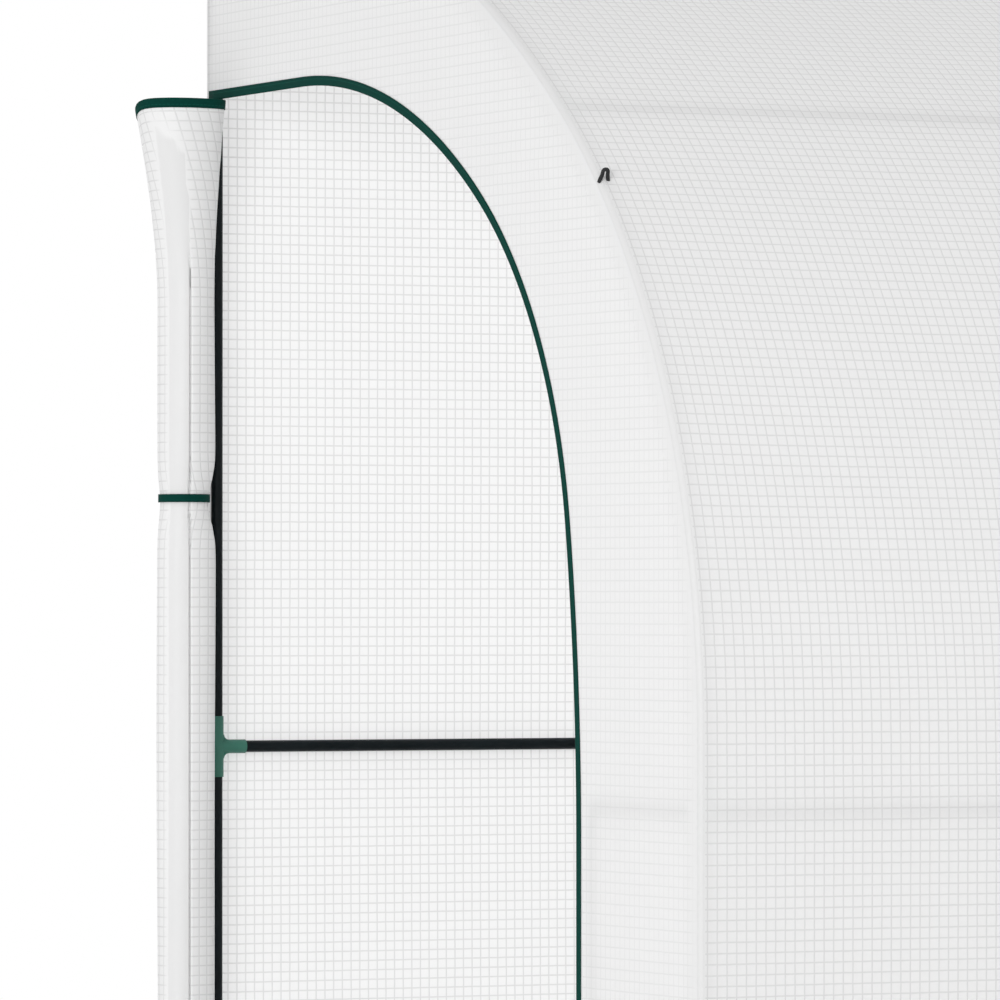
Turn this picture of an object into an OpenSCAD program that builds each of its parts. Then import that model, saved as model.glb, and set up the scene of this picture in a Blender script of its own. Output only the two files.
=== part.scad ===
// Lean-to polytunnel greenhouse: a half-arch tube frame under a sheet cover, with a rolled door in each end.
// X runs along the wall, +Y faces the wall, Z is up, and the origin is on the ground under the middle.

/* [Overall] */
// Length along the wall
length = 3000; // [2000:10:4500]
// Depth out from the wall
depth = 1500; // [1300:10:2000]
// Height at the wall
height = 2150; // [2000:5:2400]
// Height where the front starts to curve over
side_h = 980; // [960:5:1150]

/* [Cover] */
// Thickness of the sheet
sheet_t = 2; // [1:0.5:4]
// Clearance between pieces that lie on each other
seat = 0.3; // [0.1:0.1:0.8]

/* [Frame] */
// Diameter of the tubes
tube_d = 16; // [12:1:25]
// Bays between the hoops
bays = 3; // [3:1:5]
// Height of the rail along the wall
back_rail_z = 945; // [700:5:1200]
// Rail along the front and the ends, below the height where the front starts to curve
rail_drop = 90; // [90:5:300]

/* [Connectors] */
// Wall of a moulded sleeve
sleeve_wall = 1.25; // [1:0.25:3]
// Slack of a tube in its sleeve
slack = 0.25; // [0.1:0.05:0.4]
// Reach of a socket from the middle of its connector
socket = 42; // [35:1:60]
// Wall left between two bores that meet
bore_wall = 1; // [0.5:0.25:2]
// Rounding of the web between two sockets
fillet = 7; // [4:1:14]
// Thickness of the web between two sockets
web_t = 8; // [4:1:12]
// Side of a foot
foot_w = 40; // [30:1:60]
// Thickness of a foot
foot_t = 3; // [2:0.5:6]
// How far a sleeve sinks into its foot
foot_sink = 1; // [0.5:0.25:2]

/* [Doorway] */
// Strip between the front and the middle of the binding
door_side = 332; // [300:1:500]
// Strip between the top and the middle of the binding
door_head = 305; // [280:1:380]
// Jamb starts to lean in so far below the height where the front starts to curve
jamb_drop = 127; // [80:1:200]
// Radius of the leaning jamb, as a multiple of the height of the doorway's curve
jamb_bend = 2.444; // [2.2:0.01:2.6]
// Angle where the jamb meets the shoulder
jamb_angle = 9.3; // [8:0.1:11]
// Radius of the shoulder, as a multiple of the height of the doorway's curve
shoulder_bend = 0.654; // [0.6:0.01:0.7]
// Angle where the shoulder meets the crown
shoulder_angle = 54; // [50:0.5:58]
// Width of the binding
bind_w = 12; // [8:1:20]
// How far the binding stands off each face of the sheet
bind_t = 1; // [0.5:0.25:2]
// Door post beyond the middle of the binding
post_gap = 34; // [26:1:60]

/* [Rolled door] */
// Diameter of the roll
roll_d = 73; // [60:1:90]
// Roll's middle out from the end of the tunnel
roll_out = 50; // [48:1:70]
// Roll's back clear of the wall
roll_back = 3.5; // [3:0.5:8]
// Bottom of the roll above the ground
roll_lift = 15; // [5:1:60]
// Diameter of the loose top of the roll
flare_d = 110; // [90:1:130]
// Length of the loose top
flare_h = 270; // [200:5:350]
// How far the top leans out
flare_lean = 21; // [15:1:30]
// Height of the tie, as a share of the door's
tie_share = 0.7; // [0.6:0.01:0.75]
// Width of the tie's tape
tie_h = 11; // [8:1:20]
// Thickness of the tie's tape
tie_t = 1.5; // [1:0.25:2.5]
// How much the tie draws the roll in
tie_draw = 4; // [2:0.5:6]
// How far the tie's squeeze spreads up and down
tie_spread = 90; // [60:5:120]

/* [Loops] */
// How far round the arch a loop stands, from the front
loop_angle = 44; // [32:0.5:48]
// Loop's middle in from the end of the tunnel
loop_in = 9; // [9:1:40]
// Distance between a loop's legs
loop_w = 11; // [8:1:20]
// Length of a loop's legs
loop_leg = 14; // [6:1:20]
// Thickness of the cord
loop_d = 3.6; // [2:0.2:6]

/* [Hidden] */
$fn = 64;

STEEL = [0.11, 0.13, 0.15];
MOULDED = [0.24, 0.41, 0.37];
SHEET = [0.94, 0.95, 0.95];
BINDING = [0.08, 0.28, 0.23];
CORD = [0.1, 0.1, 0.11];

// Directions a socket can take, as turns of an upright tube
UP = [0, 0, 0];
DOWN = [180, 0, 0];
EAST = [0, 90, 0];
WEST = [0, -90, 0];
TO_WALL = [-90, 0, 0];
TO_FRONT = [90, 0, 0];

// The arch is a shoulder bend that runs into a flatter roof bend, level where it meets the wall.
// They meet at the purlin, at the angle that brings their two radii closest.
function rounded(v) = round(100 * v) / 100;
rise = height - side_h;
front_rail_z = side_h - rail_drop;
purlin_angle = rounded(atan2(depth, rise));
share = 1 - cos(purlin_angle) - sin(purlin_angle);
low_r = rounded((depth * (1 - sin(purlin_angle)) - rise * cos(purlin_angle)) / share);
top_r = (rise * (1 - cos(purlin_angle)) - depth * sin(purlin_angle)) / share;

// A point on the wall side is given by its distance from the wall
function y_of(t) = depth / 2 - t;
function facing(a) = [-cos(a), sin(a)];
low_c = [y_of(depth - low_r), side_h];
top_c = low_c + (low_r - top_r) * facing(purlin_angle);

// Tubes lie so far in that their sleeves just clear the sheet
tube_r = tube_d / 2;
bore_r = tube_r + slack;
sleeve_r = bore_r + sleeve_wall;
inset = sheet_t + seat + sleeve_r;
stop = tube_r + bore_wall;
tube_end = stop + seat;
base_z = foot_t + sleeve_r - foot_sink;
first_x = inset - length / 2;
bay = -2 * first_x / bays;
HOOPS = [for (i = [0 : bays]) first_x + i * bay];
INNER = [for (i = [1 : bays - 1]) HOOPS[i]];
ENDS = [HOOPS[0], HOOPS[bays]];
back_y = y_of(inset);
front_y = y_of(depth - inset);
purlin_at = low_c + (low_r - inset) * facing(purlin_angle);

// A distance from the wall along the roof bend, and a length along either bend, as angles
function top_angle(t) = acos(t / (top_r - inset));
function along(l, r) = l / (r - inset) * 180 / PI;

// Straight sleeves on the bent tubes are short, and sit halfway into the bend
short_socket = 2 / 3 * socket;
purlin_sag = pow(short_socket, 2) / (low_r - inset) / 4;
purlin_joint = purlin_at - purlin_sag * facing(purlin_angle);
ridge_rise = (sin(top_angle(inset)) + sin(top_angle(inset + short_socket))) / 2;
ridge_z = top_c[1] + (top_r - inset) * ridge_rise;

// Doorway outline: jamb, shoulder and crown arcs, then level to the wall
door_w = depth - door_side;
door_h = height - door_head;
jamb_h = side_h - jamb_drop;
curve_h = door_h - jamb_h;
jamb_r = rounded(jamb_bend * curve_h);
shoulder_r = rounded(shoulder_bend * curve_h);
post_y = y_of(door_w + post_gap);
door_start = inset;
jamb_c = [y_of(door_w - jamb_r), jamb_h];
shoulder_c = jamb_c + (jamb_r - shoulder_r) * facing(jamb_angle);
crown_r = (door_h - shoulder_c[1] - shoulder_r * sin(shoulder_angle)) / (1 - sin(shoulder_angle));
crown_c = shoulder_c + (shoulder_r - crown_r) * facing(shoulder_angle);

// Rolled door
roll_r = roll_d / 2;
flare_r = flare_d / 2;
roll_top = door_h - bind_w / 2;
tie_z = rounded(tie_share * roll_top);
roll_x = -length / 2 - roll_out;
roll_y = y_of(roll_r + roll_back);
tie_r = roll_r - tie_draw;
flare_z = roll_top - flare_h;
flare_y = y_of(flare_r + roll_back);
tail_in = 0.8;
flare_in = 1.5;

// Tubes

module tube_x(x0, x1, y, z)
    translate([x0, y, z])
        rotate(EAST)
            cylinder(d = tube_d, h = x1 - x0);

module tube_y(x, y0, y1, z)
    translate([x, y0, z])
        rotate(TO_WALL)
            cylinder(d = tube_d, h = y1 - y0);

module tube_z(x, y, z0, z1)
    translate([x, y, z0])
        cylinder(d = tube_d, h = z1 - z0);

// One tube in each bay, from connector to connector
module rails(y, z)
    color(STEEL)
        for (i = [0 : bays - 1])
            tube_x(HOOPS[i] + tube_end, HOOPS[i + 1] - tube_end, y, z);

// A ring segment round an axis along X, centred at c, with the profile that is given
module bend(x, c, from, to)
    translate([x, c[0], c[1]])
        rotate([90, 0, 90])
            rotate([0, 0, 180 - from])
                rotate_extrude(angle = from - to)
                    children();

module round_bend(x, c, r, from, to, radius)
    bend(x, c, from, to)
        translate([r, 0])
            circle(r = radius);

module shoulder_tube(x)
    color(STEEL)
        union() {
            tube_z(x, front_y, front_rail_z + tube_end, side_h);
            round_bend(x, low_c, low_r - inset, 0, purlin_angle - along(tube_end, low_r), tube_r);
        }
module near_end_shoulder_tube() shoulder_tube(HOOPS[0]);
module near_middle_shoulder_tube() shoulder_tube(HOOPS[1]);
module far_middle_shoulder_tube() for (i = [2 : bays - 1]) shoulder_tube(HOOPS[i]);
module far_end_shoulder_tube() shoulder_tube(HOOPS[bays]);

roof_from = purlin_angle + along(tube_end, top_r);
roof_to = top_angle(inset + tube_end);
module roof_tube(x)
    color(STEEL)
        round_bend(x, top_c, top_r - inset, roof_from, roof_to, tube_r);
module near_end_roof_tube() roof_tube(HOOPS[0]);
module near_middle_roof_tube() roof_tube(HOOPS[1]);
module far_middle_roof_tube() for (i = [2 : bays - 1]) roof_tube(HOOPS[i]);
module far_end_roof_tube() roof_tube(HOOPS[bays]);

module back_lower_posts()
    color(STEEL)
        for (x = HOOPS)
            tube_z(x, back_y, base_z + tube_end, back_rail_z - tube_end);

module back_upper_posts()
    color(STEEL)
        for (x = HOOPS)
            tube_z(x, back_y, back_rail_z + tube_end, ridge_z - tube_end);

module front_posts()
    color(STEEL)
        for (x = HOOPS)
            tube_z(x, front_y, base_z + tube_end, front_rail_z - tube_end);

module ridge_rails() rails(back_y, ridge_z);
module back_mid_rails() rails(back_y, back_rail_z);
module back_base_rails() rails(back_y, base_z);
module front_mid_rails() rails(front_y, front_rail_z);
module front_base_rails() rails(front_y, base_z);

module purlins() rails(purlin_joint[0], purlin_joint[1]);

module end_base_rails()
    color(STEEL)
        for (x = ENDS) {
            tube_y(x, post_y + tube_end, back_y - tube_end, base_z);
            tube_y(x, front_y + tube_end, post_y - tube_end, base_z);
        }

module end_mid_rails()
    color(STEEL)
        for (x = ENDS)
            tube_y(x, front_y + tube_end, post_y - tube_end, front_rail_z);

module door_posts()
    color(STEEL)
        for (x = ENDS)
            tube_z(x, post_y, base_z + tube_end, front_rail_z - tube_end);

// Moulded connectors

// Web with a hollow edge between a socket along X and an upright one
module web()
    rotate(TO_FRONT)
        linear_extrude(height = web_t, center = true)
            difference() {
                square(sleeve_r + fillet);
                translate([sleeve_r + fillet, sleeve_r + fillet])
                    circle(r = fillet);
            }

// Sockets that meet in a ball, each bored for its tube as far as a stop; webs are turns of the web above
module connector(sockets, webs = [], reach = socket)
    difference() {
        union() {
            sphere(r = sleeve_r);
            for (way = sockets)
                rotate(way)
                    cylinder(r = sleeve_r, h = reach);
            for (turn = webs)
                rotate(turn)
                    web();
            children();
        }
        for (way = sockets)
            rotate(way)
                translate([0, 0, stop])
                    cylinder(r = bore_r, h = reach);
    }

WEB_EAST = [[0, 0, 0], [180, 0, 0]];
WEB_WEST = [[0, 0, 180], [180, 0, 180]];
WEB_IN = [[0, 0, 90], [180, 0, 90]];

module back_connectors()
    color(MOULDED) {
        translate([HOOPS[0], back_y, back_rail_z])
            connector([UP, DOWN, EAST], WEB_EAST);
        for (x = INNER)
            translate([x, back_y, back_rail_z])
                connector([UP, DOWN, EAST, WEST], concat(WEB_EAST, WEB_WEST));
        translate([HOOPS[bays], back_y, back_rail_z])
            connector([UP, DOWN, WEST], WEB_WEST);
    }

module front_connectors()
    color(MOULDED) {
        translate([HOOPS[0], front_y, front_rail_z])
            connector([UP, DOWN, EAST, TO_WALL], concat(WEB_EAST, WEB_IN));
        for (x = INNER)
            translate([x, front_y, front_rail_z])
                connector([UP, DOWN, EAST, WEST], concat(WEB_EAST, WEB_WEST));
        translate([HOOPS[bays], front_y, front_rail_z])
            connector([UP, DOWN, WEST, TO_WALL], concat(WEB_WEST, WEB_IN));
    }

module ridge_connectors()
    color(MOULDED) {
        translate([HOOPS[0], back_y, ridge_z])
            connector([DOWN, EAST, TO_FRONT], [[180, 0, 0]], short_socket);
        for (x = INNER)
            translate([x, back_y, ridge_z])
                connector([DOWN, EAST, WEST, TO_FRONT], [[180, 0, 0], [180, 0, 180]], short_socket);
        translate([HOOPS[bays], back_y, ridge_z])
            connector([DOWN, WEST, TO_FRONT], [[180, 0, 180]], short_socket);
    }

// The purlin connector joins the two tubes of a hoop
module purlin_connector(x, sockets)
    translate([x, purlin_joint[0], purlin_joint[1]])
        rotate([-purlin_angle, 0, 0])
            connector(concat([UP, DOWN], sockets), [], short_socket);

module purlin_connectors()
    color(MOULDED) {
        purlin_connector(HOOPS[0], [EAST]);
        for (x = INNER)
            purlin_connector(x, [EAST, WEST]);
        purlin_connector(HOOPS[bays], [WEST]);
    }

// A foot: sockets on a flat square pad; side_x and side_y point to the outside of the tunnel
foot_shift = foot_w / 2 - sleeve_r;
module foot(sockets, side_x, side_y)
    connector(sockets) {
        translate([0, 0, -base_z])
            cylinder(r = sleeve_r, h = base_z);
        translate([-foot_w / 2 - side_x * foot_shift, -foot_w / 2 - side_y * foot_shift, -base_z])
            cube([foot_w, foot_w, foot_t]);
    }

module feet(y, inward, side_y)
    color(MOULDED) {
        translate([HOOPS[0], y, base_z])
            foot([UP, EAST, inward], -1, side_y);
        for (x = INNER)
            translate([x, y, base_z])
                foot([UP, EAST, WEST], 0, side_y);
        translate([HOOPS[bays], y, base_z])
            foot([UP, WEST, inward], 1, side_y);
    }
module back_feet() feet(back_y, TO_FRONT, 1);
module front_feet() feet(front_y, TO_WALL, -1);

module door_post_connectors()
    color(MOULDED)
        for (x = ENDS) {
            translate([x, post_y, base_z])
                connector([UP, TO_WALL, TO_FRONT]);
            translate([x, post_y, front_rail_z])
                connector([DOWN, TO_FRONT], [[180, 0, -90]]);
        }

// Cover

module sheet_bend(c, r, from, to)
    bend(0, c, from, to)
        translate([r - sheet_t, -length / 2])
            square([sheet_t, length]);

module roof_cover()
    color(SHEET)
        sheet_bend(top_c, top_r, purlin_angle, 90);

module shoulder_cover()
    color(SHEET)
        sheet_bend(low_c, low_r, 0, purlin_angle);

module front_cover()
    color(SHEET)
        translate([-length / 2, -depth / 2, 0])
            cube([length, sheet_t, side_h]);

module back_cover()
    color(SHEET)
        translate([-length / 2, depth / 2 - sheet_t, 0])
            cube([length, sheet_t, height - sheet_t - seat]);

// Slice of a disc between two angles; the first and last slices run on past the level and the upright
BEFORE_JAMB = -5;
PAST_TOP = 100;
module pie(c, r, from, to)
    intersection() {
        translate(c)
            circle(r = r, $fn = 360);
        polygon([c, c + 2 * r * facing(from), c + 2 * r * facing((from + to) / 2), c + 2 * r * facing(to)]);
    }

// Everything under the arch, this far inside its outer face
module under_arch(in)
    intersection() {
        union() {
            translate([in - depth / 2, 0])
                square([depth, side_h]);
            translate(low_c)
                circle(r = low_r - in, $fn = 360);
            pie(top_c, top_r - in, purlin_angle, PAST_TOP);
        }
        translate([-depth, 0])
            square([1.5 * depth - in, 2 * height]);
    }

// The doorway, this far outside the middle of its binding; slices reach past their ends into each other
module doorway(out)
    intersection() {
        union() {
            translate([y_of(door_w + out), -1])
                square([depth, jamb_h + 1]);
            translate([crown_c[0], -1])
                square([depth, door_h + out + 1]);
            pie(jamb_c, jamb_r + out, BEFORE_JAMB, jamb_angle);
            translate(shoulder_c)
                circle(r = shoulder_r + out, $fn = 360);
            pie(crown_c, crown_r + out, shoulder_angle, PAST_TOP);
        }
        translate([-depth, -1])
            square([1.5 * depth - door_start, 2 * height]);
    }

// An outline across the end of the tunnel, thickened from x along X
module across(x, thick)
    translate([x, 0, 0])
        rotate([90, 0, 90])
            linear_extrude(height = thick)
                children();

module near_end_cover()
    color(SHEET)
        across(-length / 2, sheet_t)
            difference() {
                under_arch(sheet_t + seat);
                doorway(bind_w / 2);
            }

module near_door_binding()
    color(BINDING)
        across(-length / 2 - bind_t, sheet_t + 2 * bind_t)
            difference() {
                intersection() {
                    doorway(bind_w / 2);
                    translate([-depth / 2, 0])
                        square([depth, height]);
                }
                doorway(-bind_w / 2);
            }

// The door's sheet from its hinge edge to the roll, seen along the wall
module tail(grow)
    translate([0, y_of(roll_back + tail_in - grow), 0])
        rotate(TO_FRONT)
            linear_extrude(height = sheet_t + 2 * grow)
                polygon([
                    [-length / 2, roll_lift], [roll_x, roll_lift], [roll_x, flare_z],
                    [roll_x - flare_lean, roll_top], [-length / 2, roll_top]
                ]);

// The loose top of the roll is a cone that leans out, made too long and cut level
over = 0.1;
flare_r0 = roll_r - flare_in;
flare_r2 = flare_r + over * (flare_r - flare_r0);
flare_step = [-flare_lean, flare_y - roll_y, flare_h];
module flare()
    intersection() {
        translate([roll_x, roll_y, flare_z])
            rotate([-asin(flare_step[1] / norm(flare_step)), atan2(flare_step[0], flare_step[2]), 0])
                cylinder(r1 = flare_r0, r2 = flare_r2, h = (1 + over) * norm(flare_step));
        translate([roll_x - 2 * flare_d, roll_y - 2 * flare_d, flare_z - flare_d])
            cube([4 * flare_d, 4 * flare_d, flare_h + flare_d]);
    }

module near_rolled_door()
    color(SHEET)
        union() {
            translate([roll_x, roll_y, 0])
                rotate_extrude()
                    polygon([
                        [0, roll_lift], [roll_r, roll_lift], [roll_r, tie_z - tie_spread],
                        [tie_r, tie_z - tie_h / 2], [tie_r, tie_z + tie_h / 2],
                        [roll_r, tie_z + tie_spread], [roll_r, flare_z + roll_r], [0, flare_z + roll_r]
                    ]);
            flare();
            tail(0);
        }

module near_door_tie()
    color(BINDING)
        difference() {
            union() {
                translate([roll_x, roll_y, tie_z - tie_h / 2])
                    difference() {
                        cylinder(r = tie_r + seat + tie_t, h = tie_h);
                        translate([0, 0, -1])
                            cylinder(r = tie_r + seat, h = tie_h + 2);
                    }
                translate([roll_x, y_of(roll_back + tail_in + sheet_t + seat + tie_t), tie_z - tie_h / 2])
                    cube([roll_out, tie_t, tie_h]);
            }
            tail(seat);
            translate([roll_x, roll_y, 0])
                cylinder(r = tie_r + seat, h = height);
        }

module near_roll_binding()
    color(BINDING)
        difference() {
            translate([roll_x - flare_lean, flare_y, roll_top - bind_w])
                difference() {
                    cylinder(r = flare_r + seat + tie_t, h = bind_w);
                    translate([0, 0, -1])
                        cylinder(r = flare_r + seat, h = bind_w + 2);
                }
            tail(seat);
        }

module other_end()
    mirror([1, 0, 0])
        children();
module far_end_cover() other_end() near_end_cover();
module far_door_binding() other_end() near_door_binding();
module far_rolled_door() other_end() near_rolled_door();
module far_door_tie() other_end() near_door_tie();
module far_roll_binding() other_end() near_roll_binding();

// A loop of cord standing on the cover
loop_at = low_c + low_r * facing(loop_angle);
module loop(x)
    translate([x, loop_at[0], loop_at[1]])
        rotate([90 - loop_angle, 0, 0])
            union() {
                for (side = [-1, 1])
                    translate([side * loop_w / 2, 0, 0])
                        cylinder(d = loop_d, h = loop_leg);
                translate([0, 0, loop_leg])
                    rotate(TO_FRONT)
                        rotate_extrude(angle = 180)
                            translate([loop_w / 2, 0])
                                circle(d = loop_d);
            }

module guy_loops()
    color(CORD) {
        loop(loop_in - length / 2);
        loop(length / 2 - loop_in);
    }

back_lower_posts();
back_upper_posts();
front_posts();
near_end_shoulder_tube();
near_middle_shoulder_tube();
far_middle_shoulder_tube();
far_end_shoulder_tube();
near_end_roof_tube();
near_middle_roof_tube();
far_middle_roof_tube();
far_end_roof_tube();
ridge_rails();
purlins();
back_mid_rails();
front_mid_rails();
back_base_rails();
front_base_rails();
end_base_rails();
end_mid_rails();
door_posts();
ridge_connectors();
back_connectors();
front_connectors();
purlin_connectors();
back_feet();
front_feet();
door_post_connectors();
back_cover();
front_cover();
shoulder_cover();
roof_cover();
near_end_cover();
far_end_cover();
near_door_binding();
far_door_binding();
near_rolled_door();
far_rolled_door();
near_roll_binding();
far_roll_binding();
near_door_tie();
far_door_tie();
guy_loops();
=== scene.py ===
# %% [markdown]
# # Dressing a lean-to polytunnel greenhouse
# The packed CAD model already holds the whole frame: bent hoops, rails, posts and moulded connectors.
# This lesson gives those their paint and plastic, and then makes everything soft: the cover with its thread
# grid, the two end panels, the rolled-up doors, their green edging and ties, and the cord loops. A cloth starts
# here as it does in the workshop, flat on the cutting table, and is then bent, hung or rolled into its place.

# %% Load the packed model and keep its box
from math import acos, atan2, ceil, cos, exp, pi, radians, sin, sqrt

import bmesh
import bpy
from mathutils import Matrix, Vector


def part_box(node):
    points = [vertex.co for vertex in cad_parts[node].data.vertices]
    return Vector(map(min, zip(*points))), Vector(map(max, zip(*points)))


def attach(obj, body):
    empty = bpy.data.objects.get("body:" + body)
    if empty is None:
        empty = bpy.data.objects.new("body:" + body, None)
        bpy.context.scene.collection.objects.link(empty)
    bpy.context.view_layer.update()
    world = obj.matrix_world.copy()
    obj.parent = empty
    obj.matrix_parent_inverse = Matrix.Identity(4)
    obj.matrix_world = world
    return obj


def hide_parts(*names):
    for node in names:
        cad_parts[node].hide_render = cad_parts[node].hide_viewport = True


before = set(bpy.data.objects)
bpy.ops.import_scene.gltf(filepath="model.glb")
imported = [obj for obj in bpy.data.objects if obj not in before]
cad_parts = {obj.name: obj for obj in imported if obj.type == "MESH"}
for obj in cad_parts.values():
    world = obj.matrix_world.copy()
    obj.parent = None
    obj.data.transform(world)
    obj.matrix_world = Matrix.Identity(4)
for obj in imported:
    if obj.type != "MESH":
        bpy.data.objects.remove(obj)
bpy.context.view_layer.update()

# %% [markdown]
# ## The camera
# The picture was taken from far off with a long lens, a little below the middle of the doorway, so upright lines
# stay upright. The camera could be matched by eye in the viewport. Here its place was worked out from the size of
# the thread grid near and far, which gives the distance, and from the way the level lines run together.

# %% Camera
EYE = Vector((-5.677, -8.911, 1.139))
TURN, TILT = radians(25.6), radians(0.8)
looking = Vector((sin(TURN) * cos(TILT), cos(TURN) * cos(TILT), sin(TILT)))
lens = bpy.data.cameras.new("camera")
lens.lens, lens.sensor_width = 273.6, 36.0
lens.clip_end = 200
camera = bpy.data.objects.new("camera", lens)
camera.location = EYE
camera.rotation_euler = looking.to_track_quat("-Z", "Y").to_euler()
bpy.context.scene.collection.objects.link(camera)
bpy.context.scene.camera = camera
print("camera", [round(x, 2) for x in camera.location])

# %% [markdown]
# ## Sizes of the frame
# The cloth has to lie exactly on the frame, so its sizes come from the boxes of the CAD nodes. A point of a hoop
# is found by the way it faces: 0 is the front, a right angle is straight up, and two right angles face the wall.

# %% Sizes from the CAD nodes
front_low, front_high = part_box("front_cover")
FRONT, SIDE, HALF = front_low.y, front_high.z, front_high.x
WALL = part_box("back_cover")[1].y
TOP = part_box("roof_cover")[1].z
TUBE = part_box("near_end_roof_tube")
NEAR_HOOP = (TUBE[0].x + TUBE[1].x) / 2
BAYS = 3
HOOPS = [NEAR_HOOP * (1 - 2 * i / BAYS) for i in range(BAYS + 1)]


def mid_height(node):
    low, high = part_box(node)
    return (low.z + high.z) / 2


def facing(angle):
    """The direction of this angle across the tunnel, as (y, z)."""
    return Vector((-cos(angle), sin(angle)))


print("half length", HALF, "front", FRONT, "wall", WALL, "top", TOP, "hoops", HOOPS)

# %% [markdown]
# ## Outlines made of lines and arcs
# Both the hoop and the doorway are made of straight runs and arcs that flow into each other. A curve object could
# hold them, but cloth needs to know two more things at every step: which way is outwards, and where a line a few
# millimetres further out would lie. So an outline here is a list of runs, each a length and a rule.

# %% Outlines
def line(start, stop, out):
    """A straight run that faces out."""
    start, stop, out = Vector(start), Vector(stop), Vector(out)
    length = (stop - start).length
    return length, lambda d, away: (start.lerp(stop, d / length) + away * out, out)


def arc(centre, radius, start, stop):
    """A bend that faces from one angle to another."""
    def rule(d, away):
        out = facing(start + (stop - start) * d / length)
        return centre + (radius + away) * out, out
    length = radius * abs(stop - start)
    return length, rule


def walk(runs, d, away=0.0):
    """The point that lies d along the outline and this far outside it, and the way it faces."""
    for length, rule in runs[:-1]:
        if d <= length:
            return rule(d, away)
        d -= length
    return runs[-1][1](d, away)


def span(runs):
    return sum(length for length, rule in runs)


print("a quarter turn of radius 1 is", round(span([arc(Vector((0, 0)), 1.0, 0, pi / 2)]), 4), "long")

# %% The hoop's outline, from the front foot over the roof to the wall foot
FOOT = 0.0015                      # the cover's fold clears the ground by this
ROUND = 0.008                      # the cover turns round the end hoops and the wall's top edge this tightly
rise, depth = TOP - SIDE, WALL - FRONT
PURLIN = atan2(depth, rise)        # the two bends meet where the hoop faces this way
both = 1 - cos(PURLIN) - sin(PURLIN)   # together they have to fill the rise and the depth
LOW_R = (depth * (1 - sin(PURLIN)) - rise * cos(PURLIN)) / both
HIGH_R = (rise * (1 - cos(PURLIN)) - depth * sin(PURLIN)) / both
LOW_C = Vector((FRONT + LOW_R, SIDE))
HIGH_C = LOW_C + (LOW_R - HIGH_R) * facing(PURLIN)
EAVE = acos(ROUND / (HIGH_R - ROUND))
EAVE_C = HIGH_C + (HIGH_R - ROUND) * facing(EAVE)

HOOP = [
    line((FRONT, FOOT), (FRONT, SIDE), facing(0)),
    arc(LOW_C, LOW_R, 0, PURLIN),
    arc(HIGH_C, HIGH_R, PURLIN, EAVE),
    arc(EAVE_C, ROUND, EAVE, pi),
    line((WALL, EAVE_C.y), (WALL, FOOT), facing(pi)),
]
HOOP_LENGTH = span(HOOP)
AT_SIDE, AT_PURLIN, AT_EAVE, AT_WALL = [span(HOOP[:n]) for n in (1, 2, 3, 4)]
print("bends", round(LOW_R, 4), round(HIGH_R, 4), "length over the hoop", round(HOOP_LENGTH, 3))

# %% The doorway's outline, from the wall over the crown to the jamb's foot
DOOR_W, DOOR_H, JAMB_H = 1.168, 1.845, 0.853    # as the CAD end panels are cut
JAMB_R, SHOULDER_R = 2.4244, 0.6488
JAMB_TURN, SHOULDER_TURN = radians(9.3), radians(54)
JAMB_C = Vector((WALL - DOOR_W + JAMB_R, JAMB_H))
SHOULDER_C = JAMB_C + (JAMB_R - SHOULDER_R) * facing(JAMB_TURN)
CROWN_R = (DOOR_H - SHOULDER_C.y - SHOULDER_R * sin(SHOULDER_TURN)) / (1 - sin(SHOULDER_TURN))
CROWN_C = SHOULDER_C + (SHOULDER_R - CROWN_R) * facing(SHOULDER_TURN)
DOOR_START = 0.010                 # the edging starts this far from the wall


def doorway(start):
    """The doorway's outline from this far off the wall."""
    return [
        line((WALL - start, DOOR_H), (CROWN_C.x, DOOR_H), facing(pi / 2)),
        arc(CROWN_C, CROWN_R, pi / 2, SHOULDER_TURN),
        arc(SHOULDER_C, SHOULDER_R, SHOULDER_TURN, JAMB_TURN),
        arc(JAMB_C, JAMB_R, JAMB_TURN, 0),
        line((WALL - DOOR_W, JAMB_H), (WALL - DOOR_W, FOOT), facing(0)),
    ]


DOORWAY = doorway(DOOR_START)
print("doorway outline", round(span(DOORWAY), 3), "m, crown radius", round(CROWN_R, 3))

# %% [markdown]
# ## Shader sums
# A finish is a small calculation that runs at every point of a surface. Its nodes could be wired by hand. Written
# as sums in Python they read like the calculation itself, so one small class wraps a socket, and every sum on it
# adds the Math node that does it. Any other node comes from one method, and takes its settings and its sockets.

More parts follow.
